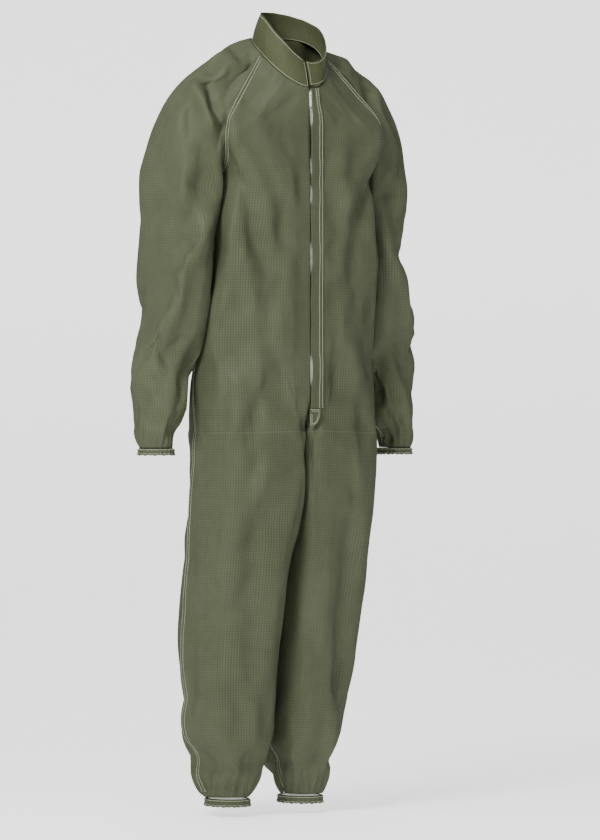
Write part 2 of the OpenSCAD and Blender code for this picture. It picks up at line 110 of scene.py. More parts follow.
def make_lights():
    right, into = view_axes()
    aim = Vector((0, 0, -0.75))
    place = lambda r, f, z: right * r - into * f + Vector((0, 0, z))
    area_light("key", place(-1.5, 3.0, 1.5), Vector((0, 0, -0.5)), (1.0, 1.2), 175, (1.0, 0.99, 0.97))
    area_light("fill", place(2.6, 3.0, 0.0), aim, (1.6, 2.0), 20)
    area_light("top", place(-0.5, 0.8, 2.2), Vector((0, 0, -0.3)), (1.2, 1.0), 42)
    world = bpy.data.worlds.new("studio")
    world.use_nodes = True
    back = world.node_tree.nodes["Background"]
    back.inputs["Color"].default_value = (1, 1, 1, 1)
    back.inputs["Strength"].default_value = 0.24
    bpy.context.scene.world = world


def make_stage():
    """A pale floor that curves up into a backdrop behind the suit."""
    right, into = view_axes()
    floor_z = cad_box[0].z - 0.02
    rows = [(-6.0, 0.0), (3.0, 0.0)]
    bend = 1.2
    rows += [(3.0 + bend * math.sin(t), bend * (1 - math.cos(t))) for t in np.linspace(0.15, math.pi / 2, 12)]
    rows += [(3.0 + bend, 6.0)]
    points = [right * x + into * d + Vector((0, 0, floor_z + h)) for d, h in rows for x in (-9, 9)]
    faces = [(2 * i, 2 * i + 1, 2 * i + 3, 2 * i + 2) for i in range(len(rows) - 1)]
    mesh = bpy.data.meshes.new("backdrop")
    mesh.from_pydata(points, [], faces)
    mesh.shade_smooth()
    stage = bpy.data.objects.new("backdrop", mesh)
    bpy.context.scene.collection.objects.link(stage)
    paper = bpy.data.materials.new("backdrop_paper")
    paper.use_nodes = True
    shader = paper.node_tree.nodes["Principled BSDF"]
    shader.inputs["Base Color"].default_value = (0.92, 0.92, 0.91, 1)
    shader.inputs["Roughness"].default_value = 0.9
    shader.inputs["Emission Color"].default_value = (1, 1, 1, 1)
    shader.inputs["Emission Strength"].default_value = 1.1
    mesh.materials.append(paper)
    stage.visible_glossy = False


# ---------------------------------------------------------------- materials
class Nodes:
    """Small helper that adds nodes and links them."""

    def __init__(self, name):
        self.material = bpy.data.materials.new(name)
        self.material.use_nodes = True
        self.tree = self.material.node_tree
        self.shader = self.tree.nodes["Principled BSDF"]

    def add(self, kind, inputs=None, **settings):
        node = self.tree.nodes.new(kind)
        for key, value in settings.items():
            setattr(node, key, value)
        for key, value in (inputs or {}).items():
            if isinstance(value, bpy.types.NodeSocket):
                self.tree.links.new(value, node.inputs[key])
            else:
                node.inputs[key].default_value = value
        return node

    def place(self):
        return self.add("ShaderNodeTexCoord").outputs["Object"]

    def math(self, operation, a, b=None):
        inputs = {0: a} if b is None else {0: a, 1: b}
        return self.add("ShaderNodeMath", inputs, operation=operation).outputs[0]

    def mix(self, share, a, b):
        node = self.add("ShaderNodeMix", data_type="RGBA")
        for socket, value in ((node.inputs[0], share), (node.inputs[6], a), (node.inputs[7], b)):
            if isinstance(value, bpy.types.NodeSocket):
                self.tree.links.new(value, socket)
            else:
                socket.default_value = value
        return node.outputs[2]

    def noise(self, coords, scale, detail=3.0, rough=0.5):
        inputs = {"Vector": coords, "Scale": scale, "Detail": detail, "Roughness": rough}
        return self.add("ShaderNodeTexNoise", inputs).outputs[0]

    def range(self, value, low, high, to_low=0.0, to_high=1.0):
        node = self.add("ShaderNodeMapRange", {0: value, 1: low, 2: high, 3: to_low, 4: to_high})
        return node.outputs[0]

    def waves(self, coordinate, length):
        """Sine along a coordinate, one wave per length."""
        return self.math("SINE", self.math("MULTIPLY", coordinate, 2 * math.pi / length))

    def bump(self, height, strength, distance):
        node = self.add("ShaderNodeBump", {"Height": height, "Strength": strength, "Distance": distance})
        self.link(node.outputs[0], self.shader.inputs["Normal"])

    def link(self, a, b):
        self.tree.links.new(a, b)


GRID_PITCH = 0.005
RIB_PITCH = 0.0008
CLOTH = (0.066, 0.075, 0.043, 1)
CLOTH_DARK = (0.023, 0.028, 0.012, 1)
CLOTH_LIGHT = (0.104, 0.115, 0.073, 1)


def grid_lines(n, coordinate, width):
    """1 on a thin line every grid pitch, 0 between."""
    share = n.math("FRACT", n.math("MULTIPLY", coordinate, 1 / GRID_PITCH))
    away = n.math("ABSOLUTE", n.math("SUBTRACT", share, 0.5))
    return n.range(away, width * 0.5, width, 1.0, 0.0)


def cloth_material(name, base, dark, light, line_strength=0.75):
    """Fine woven polyester with a dotted darker grid and slight shade changes."""
    n = Nodes(name)
    uv = n.add("ShaderNodeUVMap", uv_map="cut").outputs[0]
    split = n.add("ShaderNodeSeparateXYZ", {0: uv})
    u, v = split.outputs[0], split.outputs[1]
    place = n.place()
    across = grid_lines(n, u, 0.16)
    along = grid_lines(n, v, 0.16)
    dots_v = n.range(n.waves(v, GRID_PITCH / 2), -0.4, 0.6, 0.25, 1.0)
    dots_u = n.math("MULTIPLY", n.range(n.waves(u, GRID_PITCH / 2), -0.4, 0.6, 0.25, 1.0), 0.7)
    lines = n.math("MAXIMUM", n.math("MULTIPLY", across, dots_v), n.math("MULTIPLY", along, dots_u))
    lines = n.math("MULTIPLY", lines, n.range(n.noise(place, 9.0, 2.0), 0.3, 0.7, 0.5, 1.0))
    rib = n.math("MULTIPLY", n.waves(u, RIB_PITCH), n.waves(v, RIB_PITCH))
    broad = n.noise(place, 5.0, 2.0)
    patchy = n.noise(place, 38.0, 3.0)
    stretched = {0: n.math("MULTIPLY", u, 260.0), 1: n.math("MULTIPLY", v, 9.0)}
    streak = n.noise(n.add("ShaderNodeCombineXYZ", stretched).outputs[0], 1.0, 2.0)
    shade = n.mix(n.range(broad, 0.3, 0.7, 0.0, 0.35), base, light)
    shade = n.mix(n.range(patchy, 0.35, 0.75, 0.0, 0.22), shade, dark)
    shade = n.mix(n.range(streak, 0.4, 0.75, 0.0, 0.20), shade, light)
    shade = n.mix(n.math("MULTIPLY", lines, line_strength), shade, dark)
    beside_u = grid_lines(n, n.math("ADD", u, GRID_PITCH * 0.32), 0.10)
    beside_v = grid_lines(n, n.math("ADD", v, GRID_PITCH * 0.32), 0.10)
    beside = n.math("MULTIPLY", n.math("MAXIMUM", beside_u, beside_v), 0.35)
    shade = n.mix(beside, shade, light)
    shade = n.mix(n.range(rib, -1.0, 1.0, 0.0, 0.10), shade, dark)
    n.link(shade, n.shader.inputs["Base Color"])
    n.link(n.range(patchy, 0.3, 0.7, 0.50, 0.62), n.shader.inputs["Roughness"])
    n.shader.inputs["Specular IOR Level"].default_value = 0.1
    crumple = n.noise(place, 120.0, 4.0, 0.6)
    height = n.math("ADD", n.math("MULTIPLY", lines, -0.35), n.math("MULTIPLY", rib, 0.12))
    height = n.math("ADD", height, n.math("MULTIPLY", crumple, 0.9))
    n.bump(height, 0.32, 0.0006)
    return n.material


def thread_material():
    n = Nodes("thread")
    place = n.place()
    fleck = n.noise(place, 900.0, 2.0)
    shade = n.mix(n.range(fleck, 0.3, 0.7), (0.36, 0.38, 0.26, 1), (0.50, 0.52, 0.38, 1))
    n.link(shade, n.shader.inputs["Base Color"])
    n.shader.inputs["Roughness"].default_value = 0.6
    n.shader.inputs["Sheen Weight"].default_value = 0.3
    return n.material


def plastic_material(name, tint, rough):
    n = Nodes(name)
    place = n.place()
    grain = n.noise(place, 600.0, 3.0)
    soft = n.noise(place, 30.0, 2.0)
    dull = tuple(0.86 * x for x in tint[:3]) + (1,)
    n.link(n.mix(n.range(soft, 0.35, 0.7), tint, dull), n.shader.inputs["Base Color"])
    n.link(n.range(grain, 0.2, 0.8, rough - 0.06, rough + 0.08), n.shader.inputs["Roughness"])
    n.bump(grain, 0.08, 0.0003)
    return n.material


def tape_material():
    n = Nodes("zip_tape_weave")
    place = n.place()
    split = n.add("ShaderNodeSeparateXYZ", {0: place})
    wave = n.math("MULTIPLY", n.math("SINE", n.math("MULTIPLY", split.outputs[0], 7000.0)),
                  n.math("SINE", n.math("MULTIPLY", split.outputs[2], 7000.0)))
    shade = n.mix(n.range(wave, -1.0, 1.0), (0.86, 0.86, 0.83, 1), (0.70, 0.70, 0.67, 1))
    n.link(shade, n.shader.inputs["Base Color"])
    n.shader.inputs["Roughness"].default_value = 0.75
    n.shader.inputs["Sheen Weight"].default_value = 0.2
    n.bump(wave, 0.2, 0.0003)
    return n.material


def metal_material():
    n = Nodes("snap_metal")
    place = n.place()
    grain = n.noise(place, 900.0, 2.0)
    n.shader.inputs["Base Color"].default_value = (0.6, 0.6, 0.58, 1)
    n.shader.inputs["Metallic"].default_value = 1.0
    n.link(n.range(grain, 0.2, 0.8, 0.28, 0.42), n.shader.inputs["Roughness"])
    return n.material


# ---------------------------------------------------------------- the pattern, in millimetres
NECK_HALF_W, NECK_HALF_D, NECK_FRONT_D, NECK_DROP = 71.0, 74.0, 78.5, 105.0
ZIP_TOP, FLAP_L = 92.0, 618.0
FLAP_X, FLAP_W = 3.0, 24.0
Z_UNDERARM, Z_CAP, Z_WRIST = -265.0, -335.0, -784.0
Z_CROTCH_START, Z_CROTCH, Z_ANKLE = -690.0, -752.0, -1467.0
WRIST_GATHER_TOP, ANKLE_GATHER_TOP = -700, -1370
FRONT_Y = -81.0
SEAM_ANGLE = 100.0
CREASE_U, CREASE_X = 0.4, 94.0
Z_HIP_TOP, Z_HIP_LOW = -540.0, -800.0
WRIST_CASING_H, ANKLE_CASING_H = 13.0, 15.0
FRONT_RAGLAN_ANGLE, BACK_RAGLAN_ANGLE = 80.0, 130.0
LOOP_FRONT, LOOP_NECK = 150.0, 210.0

# Height, half width, depth of the widest line, y of the back, squareness of front and back
TORSO = np.array([
    [-265, 160, -20, 92, 4.6, 2.6],
    [-302, 160, -20, 92, 4.6, 2.4],
    [-399, 167, -12, 97, 4.0, 2.3],
    [-496, 176, 0, 107, 3.2, 2.3],
    [-603, 184, 16, 113, 2.5, 2.3],
    [-691, 188, 26, 130, 2.4, 2.2],
    [-752, 188, 28, 137, 2.3, 2.2],
    [-811, 187, 31, 143, 2.2, 2.2]])
# Height, inner x, outer x, y of the middle, half depth, squareness outside and inside
LEGS = np.array([
    [-560, 0.05, 184, 16, 97, 2.3, 5],
    [-660, 0.05, 188, 24, 105, 2.2, 5],
    [-752, 0.05, 188, 28, 109, 2.1, 5],
    [-811, 0.6, 187, 31, 112, 2.1, 4.6],
    [-893, 2, 186, 38, 112, 2.2, 4],
    [-1002, 4, 184, 53, 104, 2.4, 3.4],
    [-1080, 5, 181, 66, 102, 2.4, 3.2],
    [-1196, 9, 177, 81, 99, 2.4, 3],
    [-1274, 12, 169, 90, 99, 2.4, 2.8],
    [-1352, 16, 158, 97, 92, 2.3, 2.6],
    [-1391, 20, 148, 99, 84, 2.3, 2.5],
    [-1430, 28, 140, 95, 73, 2.2, 2.3],
    [-1455, 39, 128, 94, 59, 2.1, 2.1],
    [-1467, 46, 122, 93, 47, 2, 2]])
# Height, x and y of the middle, half width, half depth, squareness
SLEEVE = np.array([
    [-335, 216, 60, 58, 92, 2.5],
    [-400, 221, 60, 57, 90, 2.5],
    [-496, 231, 57, 56, 85, 2.5],
    [-560, 241, 56, 54.5, 75, 2.5],
    [-613, 250, 56, 53, 66, 2.5],
    [-652, 255, 55, 51, 62, 2.4],
    [-691, 260, 53, 48, 58, 2.3],
    [-730, 266, 49, 43, 50, 2.2],
    [-768, 272, 45, 35, 39, 2.1],
    [-784, 273, 44, 30, 33, 2.0]])


def table_at(table, z):
    """A table's row at height z, smooth between the rows."""
    heights = -table[:, 0]
    h = min(max(-z, heights[0]), heights[-1])
    k = min(len(heights) - 2, max(0, int(np.searchsorted(heights, h) - 1)))
    slopes = np.gradient(table[:, 1:], heights, axis=0)
    span = heights[k + 1] - heights[k]
    t = (h - heights[k]) / span
    a, b = table[k, 1:], table[k + 1, 1:]
    ma, mb = slopes[k] * span, slopes[k + 1] * span
    return (a * (2 * t**3 - 3 * t**2 + 1) + ma * (t**3 - 2 * t**2 + t)
            + b * (3 * t**2 - 2 * t**3) + mb * (t**3 - t**2))


def mix(a, b, t):
    return a + (b - a) * t


def smooth(t):
    t = max(0.0, min(1.0, t))
    return t * t * (3 - 2 * t)


def spow(value, power):
    return math.copysign(abs(value) ** power, value)


def sind(a):
    return math.sin(math.radians(a))


def cosd(a):
    return math.cos(math.radians(a))


def curve(points, s):
    """Smooth curve through points, s from 0 to 1."""
    n = len(points) - 1
    k = min(n - 1, int(s * n))
    t = s * n - k
    a, b, c, d = points[max(0, k - 1)], points[k], points[k + 1], points[min(n, k + 2)]
    m0, m1 = (c - a) / 2, (d - b) / 2
    return (b * (2 * t**3 - 3 * t**2 + 1) + m0 * (t**3 - 2 * t**2 + t)
            + c * (3 * t**2 - 2 * t**3) + m1 * (t**3 - t**2))


def neck_z(a):
    return 17 - NECK_DROP * ((1 + cosd(a)) / 2) ** 1.8


def neck_point(a):
    depth = NECK_FRONT_D if cosd(a) > 0 else NECK_HALF_D
    return np.array([NECK_HALF_W * sind(a), -depth * cosd(a), neck_z(a)])


def torso_point(a, z):
    half_w, y_mid, y_back, n_front, n_back = table_at(TORSO, z)
    n = n_front if cosd(a) > 0 else n_back
    depth = y_mid - FRONT_Y if cosd(a) > 0 else y_back - y_mid
    return np.array([half_w * spow(sind(a), 2 / n), y_mid - depth * spow(cosd(a), 2 / n), z])


LEG_TURN = 7.0


def leg_point(a, z):
    inner, outer, y_mid, half_d, n_out, n_in = table_at(LEGS, z)
    corner = 1 + 1.6 * smooth((z + 1010) / 200) if cosd(a) > 0 else 1
    n = n_in * corner if sind(a) < 0 else n_out
    middle, half_w = (inner + outer) / 2, (outer - inner) / 2
    turned = LEG_TURN * smooth((-820 - z) / 200) * spow(cosd(a), 2 / n) * (1 - abs(sind(a)) ** 3)
    x = middle + half_w * spow(sind(a), 2 / n) - turned
    return np.array([x, y_mid - half_d * spow(cosd(a), 2 / n), z])


def leg_share(u, z):
    if z >= Z_CROTCH_START:
        crotch = 0.0
    elif z <= Z_CROTCH:
        crotch = 1.0
    else:
        crotch = 1 - math.sqrt(1 - ((Z_CROTCH_START - z) / (Z_CROTCH_START - Z_CROTCH)) ** 2)
    hip = smooth((Z_HIP_TOP - z) / (Z_HIP_TOP - Z_HIP_LOW))
    return mix(crotch, hip, smooth(u / CREASE_U))


def torso_angle(front, u, z):
    row = table_at(TORSO, z)
    n = row[3] if front else row[4]
    x = CREASE_X * min(1, u / CREASE_U)
    inner = math.degrees(math.asin((x / row[0]) ** (n / 2)))
    t = max(0, u - CREASE_U) / (1 - CREASE_U)
    return mix(inner, SEAM_ANGLE, t) if front else 180 - mix(inner, 180 - SEAM_ANGLE, t)


def leg_angle(front, u):
    inner = 90 * (min(1, u / CREASE_U) - 1)
    t = max(0, u - CREASE_U) / (1 - CREASE_U)
    return inner + SEAM_ANGLE * t if front else 180 - inner - (180 - SEAM_ANGLE) * t


def lower_point(front, u, z):
    share = leg_share(u, z)
    if share <= 0:
        return torso_point(torso_angle(front, u, z), z)
    if share >= 1:
        return leg_point(leg_angle(front, u), z)
    return mix(torso_point(torso_angle(front, u, z), z), leg_point(leg_angle(front, u), z), share)


UNDERARM = torso_point(SEAM_ANGLE, Z_UNDERARM)
FRONT_RAGLAN = [UNDERARM, np.array([167.0, -30, -226]), np.array([184.0, -59, -163]),
                np.array([130.0, -40, -95]), neck_point(FRONT_RAGLAN_ANGLE)]
BACK_RAGLAN = [UNDERARM, np.array([161.0, 50, -228]), np.array([148.0, 80, -165]),
               np.array([102.0, 74, -78]), neck_point(BACK_RAGLAN_ANGLE)]


# The shoulders lean forward and slope inwards: height, how far forward, how far inwards
LEAN = np.array([(17, 20, 8), (-33, 38, 9), (-64, 40, 8), (-111, 24, 7), (-173, 16, 7), (-250, 0, 4),
                 (-330, 0, 0)])


def shouldered(p):
    forward = np.interp(-p[2], -LEAN[:, 0], LEAN[:, 1])
    inward = np.interp(-p[2], -LEAN[:, 0], LEAN[:, 2])
    out = smooth((p[0] - 72) / 70)
    inward *= smooth((p[0] - 130) / 60)
    forward *= smooth((p[1] + 40) / 80)
    return p - np.array([inward * out, forward * out, 0])


def centre_line(front, v):
    if front:
        return np.array([0, mix(-NECK_FRONT_D, FRONT_Y, smooth(v * 8)), mix(neck_z(0), Z_UNDERARM, v)])
    return np.array([0, mix(NECK_HALF_D, torso_point(180, Z_UNDERARM)[1], min(1, v * 2.2)),
                     mix(neck_z(180), Z_UNDERARM, v)])


def row_curve(front, line, u, v):
    """One row of the chest or back: a rounded corner between centre line and raglan seam."""
    n = mix(2, 4 if front else 2.4, v)
    mid, side = centre_line(front, v), curve(line, 1 - v)
    return np.array([side[0] * spow(math.sin(math.pi / 2 * u), 2 / n),
                     mix(side[1], mid[1], abs(math.cos(math.pi / 2 * u)) ** (2 / n) if u < 1 else 0.0),
                     mix(mid[2], side[2], u * u)])


def upper_point(front, u, v):
    line = FRONT_RAGLAN if front else BACK_RAGLAN
    neck_a = u * FRONT_RAGLAN_ANGLE if front else 180 - u * (180 - BACK_RAGLAN_ANGLE)
    top = neck_point(neck_a) - row_curve(front, line, u, 0)
    low = lower_point(front, u, Z_UNDERARM) - row_curve(front, line, u, 1)
    return shouldered(row_curve(front, line, u, v) + top * (1 - v) ** 3 + low * v**3)


def sleeve_point(a, z):
    x_mid, y_mid, half_w, half_d, n = table_at(SLEEVE, z)
    return np.array([x_mid - half_w * spow(cosd(a), 2 / n), y_mid - half_d * spow(sind(a), 2 / n), z])


def loop_point(a):
    if a <= LOOP_FRONT:
        return curve(FRONT_RAGLAN, a / LOOP_FRONT)
    if a >= LOOP_NECK:
        return curve(BACK_RAGLAN, (360 - a) / (360 - LOOP_NECK))
    t = (a - LOOP_FRONT) / (LOOP_NECK - LOOP_FRONT)
    return neck_point(mix(FRONT_RAGLAN_ANGLE, BACK_RAGLAN_ANGLE, t))


def cap_point(a, t):
    p0, p3 = loop_point(a), sleeve_point(a, Z_CAP)
    h = p0[2] - p3[2]
    p1 = np.array([mix(p0[0], p3[0], 0.77), mix(p0[1], p3[1], 0.78), p0[2] - 0.13 * h])
    p2 = np.array([p3[0] - 0.06 * h * cosd(a), p3[1] - 0.03 * h * sind(a), p3[2] + 0.62 * h])
    k = 1 - t
    return shouldered(p0 * k**3 + p1 * 3 * k * k * t + p2 * 3 * k * t * t + p3 * t**3)


# ---------------------------------------------------------------- grids of cloth points
UPPER_ROWS = 32
COLUMNS = 40
ROW_STEP = 8.0
NECK_SHARE = 12
CAP_ROWS = 40


def lower_levels():
    down = list(np.arange(Z_UNDERARM - ROW_STEP, Z_CROTCH_START + 1, -ROW_STEP))
    crotch = [mix(Z_CROTCH_START, Z_CROTCH, math.sin(math.pi / 2 * k / 13)) for k in range(1, 14)]
    legs = list(np.linspace(Z_CROTCH, Z_ANKLE, 92)[1:])
    levels = down + crotch + legs
    return levels if (len(levels) + UPPER_ROWS) % 2 == 0 else levels[:1] + levels[2:]


LEVELS = lower_levels()


def panel_grid(front):
    rows = [[upper_point(front, j / COLUMNS, i / UPPER_ROWS) for j in range(COLUMNS + 1)]
            for i in range(UPPER_ROWS + 1)]
    rows += [[lower_point(front, j / COLUMNS, z) for j in range(COLUMNS + 1)] for z in LEVELS]
    return np.array(rows)


def sleeve_angles():
    front = [LOOP_FRONT * k / UPPER_ROWS for k in range(UPPER_ROWS)]
    neck = [mix(LOOP_FRONT, LOOP_NECK, k / NECK_SHARE) for k in range(NECK_SHARE)]
    back = [mix(LOOP_NECK, 360, k / UPPER_ROWS) for k in range(UPPER_ROWS)]
    return front + neck + back


ANGLES = sleeve_angles()


def sleeve_grid():
    caps = [[cap_point(a, i / CAP_ROWS) for a in ANGLES] for i in range(CAP_ROWS + 1)]
    levels = np.linspace(Z_CAP, Z_WRIST, 57)[1:]
    return np.array(caps + [[sleeve_point(a, z) for a in ANGLES] for z in levels])


def mirrored(grid):
    return grid * np.array([-1.0, 1, 1])


# ---------------------------------------------------------------- drape: cloth simulation
GROWTH = 0.035
HOLD = 0.10
MOST_MOVE = 15.0


def weld(grids, closed):
    """One mesh from the grids, with the points that neighbours share joined."""
    index, points, faces, maps = {}, [], [], []
    for grid, ring in zip(grids, closed):
        rows, cols = grid.shape[:2]
        ids = np.zeros((rows, cols), int)
        for i in range(rows):
            for j in range(cols):
                key = tuple(np.round(grid[i, j] * 4).astype(int))
                if key not in index:
                    index[key] = len(points)
                    points.append(grid[i, j])
                ids[i, j] = index[key]
        for i in range(rows - 1):
            for j in range(cols if ring else cols - 1):
                face = [ids[i, j], ids[i, (j + 1) % cols], ids[i + 1, (j + 1) % cols], ids[i + 1, j]]
                if len(set(face)) == 4:
                    faces.append(face)
        maps.append(ids)
    return np.array(points), faces, maps


def drape(grids, closed):
    """Slack cloth buckles into folds: the suit is sewn slightly larger than its shape and let down."""
    coarse = [g[::2, ::2] for g in grids]
    points, faces, maps = weld(coarse, closed)
    mesh = bpy.data.meshes.new("drape")
    mesh.from_pydata([tuple(p * MM) for p in points], [], faces)
    body = bpy.data.objects.new("drape", mesh)
    bpy.context.scene.collection.objects.link(body)
    group = body.vertex_groups.new(name="held")
    fixed = np.full(len(points), HOLD)
    z = points[:, 2]
    for ids in maps:
        fixed[ids[0]] = 1.0
        fixed[ids[-1]] = 1.0
    near_zip = (np.abs(points[:, 0]) < 30) & (points[:, 1] < -60) & (z > -745)
    fixed[near_zip] = 0.9
    fixed[(np.abs(points[:, 0]) < 1) & (z > -760)] = 1.0
    for k, weight in enumerate(fixed):
        group.add([k], float(weight), "REPLACE")
    cloth = body.modifiers.new("cloth", "CLOTH")
    settings = cloth.settings
    settings.quality = 6
    settings.mass = 0.12
    settings.tension_stiffness = 25
    settings.compression_stiffness = 25
    settings.shear_stiffness = 6
    settings.bending_stiffness = 0.12
    settings.tension_damping = settings.compression_damping = 8
    settings.shrink_min = -GROWTH
    settings.vertex_group_mass = "held"
    settings.pin_stiffness = 0.35
    settings.effector_weights.gravity = 0.35
    cloth.collision_settings.use_collision = False
    scene = bpy.context.scene
    cloth.point_cache.frame_start, cloth.point_cache.frame_end = 1, 30
    for step in range(1, 25):
        scene.frame_set(step)
    graph = bpy.context.evaluated_depsgraph_get()
    settled = body.evaluated_get(graph).to_mesh()
    moved = np.zeros(len(points) * 3)
    settled.vertices.foreach_get("co", moved)
    moved = moved.reshape(-1, 3) / MM - points
    scene.frame_set(1)
    bpy.data.objects.remove(body)
    for ids, ring in zip(maps, closed):
        moved[ids] -= 0.85 * blurred(moved[ids], 7, ring)
    length = np.linalg.norm(moved, axis=1)
    moved *= np.minimum(1, MOST_MOVE / np.maximum(length, 1e-6))[:, None]
    return [spread(moved[ids], g.shape[:2], ring) for ids, g, ring in zip(maps, grids, closed)]


def blurred(grid, reach, ring):
    """A grid of vectors averaged over its neighbours, reach points each way."""
    for axis in (0, 1):
        wrap = ring and axis == 1
        pad = [(0, 0)] * 3
        pad[axis] = (reach, reach)
        wide = np.pad(grid, pad, mode="wrap" if wrap else "edge")
        total = np.cumsum(np.concatenate([np.zeros_like(wide.take([0], axis)), wide], axis), axis)
        size = grid.shape[axis]
        high = total.take(range(2 * reach + 1, 2 * reach + 1 + size), axis)
        grid = (high - total.take(range(size), axis)) / (2 * reach + 1)
    return grid


def spread(coarse, shape, ring):
    """Movements of every second point, spread smoothly over all of the grid's points."""
    rows, cols = shape
    source = np.concatenate([coarse, coarse[:, :1]], axis=1) if ring else coarse
    at = np.arange(cols) / 2
    k = np.minimum(at.astype(int), source.shape[1] - 2)
    t = (at - k)[None, :, None]
    out = source[:, k] * (1 - t) + source[:, k + 1] * t
    at = np.arange(rows) / 2
    k = np.minimum(at.astype(int), source.shape[0] - 2)
    t = (at - k)[:, None, None]
    return out[k] * (1 - t) + out[k + 1] * t


# ---------------------------------------------------------------- folds, drawn one by one
# Each fold runs from one place to another: (start xyz, end xyz, depth, width), millimetres.
# A positive depth stands out as a ridge, a negative one is a hollow.
FOLDS = [
    # chest and belly, wearer's right, from the underarm and down the front
    ((-150, -60, -190), (-60, -81, -430), 5.0, 20),
    ((-165, -50, -230), (-95, -75, -520), -6.0, 18),
    ((-120, -78, -150), (-40, -81, -300), 3.0, 18),
    ((-160, -30, -330), (-110, -70, -640), 5.0, 20),
    ((-60, -81, -330), (-95, -75, -620), -3.5, 22),
    ((-25, -81, -180), (-50, -81, -520), 3.0, 15),
    ((-150, -45, -470), (-70, -80, -720), -4.5, 20),
    ((-100, -70, -700), (-20, -70, -765), 4.0, 16),
    ((-170, -20, -560), (-140, -60, -760), 4.5, 18),
    # chest and belly, wearer's left
    ((165, -60, -175), (70, -81, -330), 4.0, 18),
    ((150, -60, -250), (90, -80, -480), -4.5, 18),
    ((60, -81, -200), (80, -81, -460), 3.0, 18),
    ((160, -30, -400), (100, -72, -700), 4.0, 22),
    ((50, -81, -480), (70, -80, -700), -3.0, 18),
    ((120, -65, -690), (20, -70, -765), 4.0, 16),
    # fronts of the legs, wearer's right
    ((-20, -60, -760), (-120, -78, -900), 5.0, 18),
    ((-30, -50, -800), (-150, -50, -1000), -5.0, 20),
    ((-60, -78, -820), (-80, -62, -1180), 5.5, 22),
    ((-120, -70, -880), (-110, -50, -1260), -5.0, 22),
    ((-150, -40, -860), (-150, 10, -1300), 4.5, 20),
    ((-95, -60, -1050), (-60, -15, -1330), -4.5, 18),
    ((-60, -40, -1150), (-110, 5, -1400), 5.0, 16),
    ((-150, 0, -1200), (-90, 10, -1410), -4.0, 15),
    # fronts of the legs, wearer's left
    ((20, -60, -760), (110, -78, -910), 4.5, 18),
    ((50, -75, -830), (75, -50, -1150), 5.0, 20),
    ((100, -72, -860), (120, -40, -1220), -5.0, 22),
    ((140, -40, -900), (150, 10, -1260), 4.0, 20),
    ((60, -45, -1100), (100, 0, -1380), 5.0, 16),
    ((130, -10, -1180), (80, 10, -1410), -4.5, 15),
    # backs
    ((-140, 70, -190), (-60, 95, -420), 5.0, 22),
    ((140, 70, -190), (70, 95, -440), 5.0, 22),
    ((-40, 90, -300), (-70, 105, -600), -4.0, 24),
    ((50, 92, -280), (60, 105, -560), -4.0, 24),
    ((-150, 60, -420), (-90, 120, -720), 4.5, 22),
    ((150, 60, -420), (90, 120, -700), 4.5, 22),
    ((-20, 130, -760), (-120, 140, -900), 5.0, 20),
    ((20, 130, -760), (120, 140, -900), 5.0, 20),
    ((-80, 140, -880), (-90, 165, -1250), -5.5, 24),
    ((80, 140, -880), (95, 165, -1250), -5.5, 24),
    ((-140, 120, -950), (-130, 170, -1350), 4.5, 22),
    ((140, 120, -950), (130, 170, -1350), 4.5, 22),
    # drag lines of the crotch and of the placket's foot
    ((-8, -78, -712), (-120, -75, -870), 4.5, 13),
    ((-18, -78, -742), (-100, -74, -960), -4.5, 12),
    ((-30, -78, -770), (-70, -70, -1010), 4.0, 12),
    ((14, -78, -712), (82, -74, -820), 4.0, 10),
    ((16, -78, -728), (60, -72, -900), -4.0, 10),
    # sleeves, right and left
    ((-216, 0, -84), (-198, -52, -196), 5.0, 14),
    ((-198, 0, -70), (-182, -58, -172), -9.0, 9),
    ((-216, -6, -84), (-204, -44, -215), 5.0, 15),
    ((-140, 0, -40), (-165, -35, -110), 3.0, 14),
    ((-240, 0, -120), (-255, -10, -330), 4.0, 18),
    ((-215, -35, -240), (-260, -5, -400), -5.0, 16),
    ((-200, -30, -330), (-265, 0, -520), 5.0, 16),
    ((-240, -25, -420), (-285, 20, -640), -4.5, 16),
    ((-225, -20, -560), (-275, 0, -740), 4.5, 12),
    ((-285, 30, -560), (-262, 0, -770), -3.5, 12),
    ((120, -5, -40), (165, -30, -100), 3.0, 14),
    ((175, 5, -62), (215, -20, -150), -5.0, 14),
    ((190, -30, -120), (215, -35, -260), 5.0, 14),
    ((245, 0, -130), (262, -10, -360), 4.0, 18),
    ((215, -35, -260), (262, -5, -430), -5.0, 16),
    ((200, -30, -370), (268, 0, -560), 5.0, 16),
    ((250, -25, -470), (288, 20, -690), -4.5, 16),
    ((235, -20, -600), (275, 0, -760), 4.5, 12),
]


def grid_normals(grid, ring):
    """Outward normals of a grid whose rows go down and whose columns go round."""
    if ring:
        across = np.roll(grid, -1, axis=1) - np.roll(grid, 1, axis=1)
    else:
        across = np.gradient(grid, axis=1)
    down = np.gradient(grid, axis=0)
    normal = np.cross(across, down)
    return normal / np.maximum(np.linalg.norm(normal, axis=2, keepdims=True), 1e-9)


